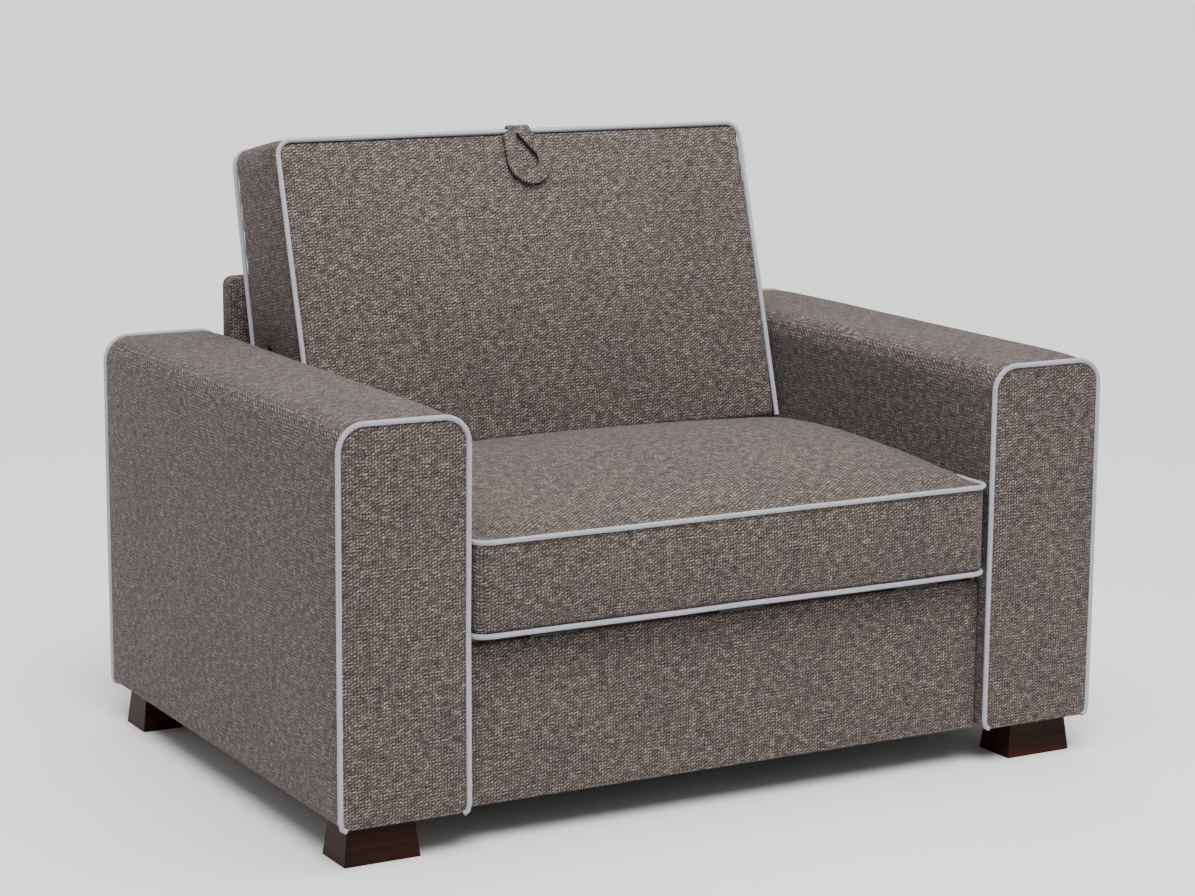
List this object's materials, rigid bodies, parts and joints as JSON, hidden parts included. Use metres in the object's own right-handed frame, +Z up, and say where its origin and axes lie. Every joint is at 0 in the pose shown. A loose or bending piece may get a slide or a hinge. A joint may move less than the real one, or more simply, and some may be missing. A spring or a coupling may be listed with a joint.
{
  "type": "convertible chair bed",
  "caption": "Box-armed easy chair whose seat and back flip forward to open a single bed, with corded piping and wooden block feet.",
  "frame": {"origin": "on the floor under the middle of the chair's width and depth", "axes": "+Z up, -Y towards the front of the chair, +X to the right seen from the front"},
  "size_m": [1.208, 0.843, 0.8916],
  "materials": {
    "upholstery": "coarse flecked grey-brown weave",
    "piping": "pale blue-grey cord",
    "dark_wood": "satin wenge stain",
    "pine": "planed, unfinished",
    "beech_slat": "clear lacquer",
    "ticking": "quilted ticking",
    "webbing": "elastic webbing",
    "black_rubber": "matt",
    "bushing": "nylon",
    "dust_cloth": "spun-bonded cloth",
    "zinc_steel": "zinc plated",
    "black_steel": "black powder coat"
  },
  "bodies": {
    "base": {"left_arm_cover": "upholstery", "right_arm_cover": "upholstery", "left_arm_frame": "pine", "right_arm_frame": "pine", "left_arm_piping": "piping", "right_arm_piping": "piping", "front_left_foot": "dark_wood", "front_right_foot": "dark_wood", "rear_left_foot": "dark_wood", "rear_right_foot": "dark_wood", "foot_bolts": "zinc_steel", "front_panel": "upholstery", "front_rail": "pine", "rear_panel_cover": "upholstery", "rear_panel_board": "pine", "left_side_rail": "pine", "right_side_rail": "pine", "left_slat_ledger": "pine", "right_slat_ledger": "pine", "deck_slats": "beech_slat", "head_mattress": "ticking", "seat_rests": "black_rubber", "back_buffers": "black_rubber", "rail_bolts": "zinc_steel", "dust_cover": "dust_cloth", "front_hinge_base_leaves": "black_steel", "front_hinge_pins": "black_steel"},
    "seat_section": {"front_hinge_seat_leaves": "black_steel", "seat_cushion": "upholstery", "seat_top_piping": "piping", "seat_bottom_piping": "piping", "seat_frame": "black_steel", "seat_straps": "webbing", "middle_mattress": "ticking", "fold_hinge_seat_leaves": "zinc_steel", "fold_hinge_pins": "zinc_steel"},
    "back_section": {"fold_hinge_back_leaves": "zinc_steel", "back_cushion": "upholstery", "back_front_piping": "piping", "back_rear_piping": "piping", "back_frame": "black_steel", "back_straps": "webbing", "foot_mattress": "ticking", "leg_bushes": "bushing", "pull_loop": "upholstery"},
    "foot_legs": {"leg_axle": "black_steel", "left_leg": "black_steel", "right_leg": "black_steel", "leg_caps": "black_rubber"}
  },
  "joints": [
    {"name": "seat_flip", "type": "hinge", "parent": "base", "child": "seat_section", "pos_m": [0, -0.4065, 0.2855], "axis": [1, 0, 0], "range_deg": [0, 180]},
    {"name": "back_unfold", "type": "hinge", "parent": "seat_section", "child": "back_section", "pos_m": [0, 0.2422, 0.347], "axis": [1, 0, 0], "range_deg": [-77, 0]},
    {"name": "leg_swing", "type": "hinge", "parent": "back_section", "child": "foot_legs", "pos_m": [0, 0.28764, 0.55716], "axis": [1, 0, 0], "range_deg": [-90, 0]}
  ],
  "couplings": [
    {"joint": "back_unfold", "follows": "seat_flip", "ratio": -0.42778},
    {"joint": "leg_swing", "follows": "seat_flip", "ratio": -0.5}
  ]
}
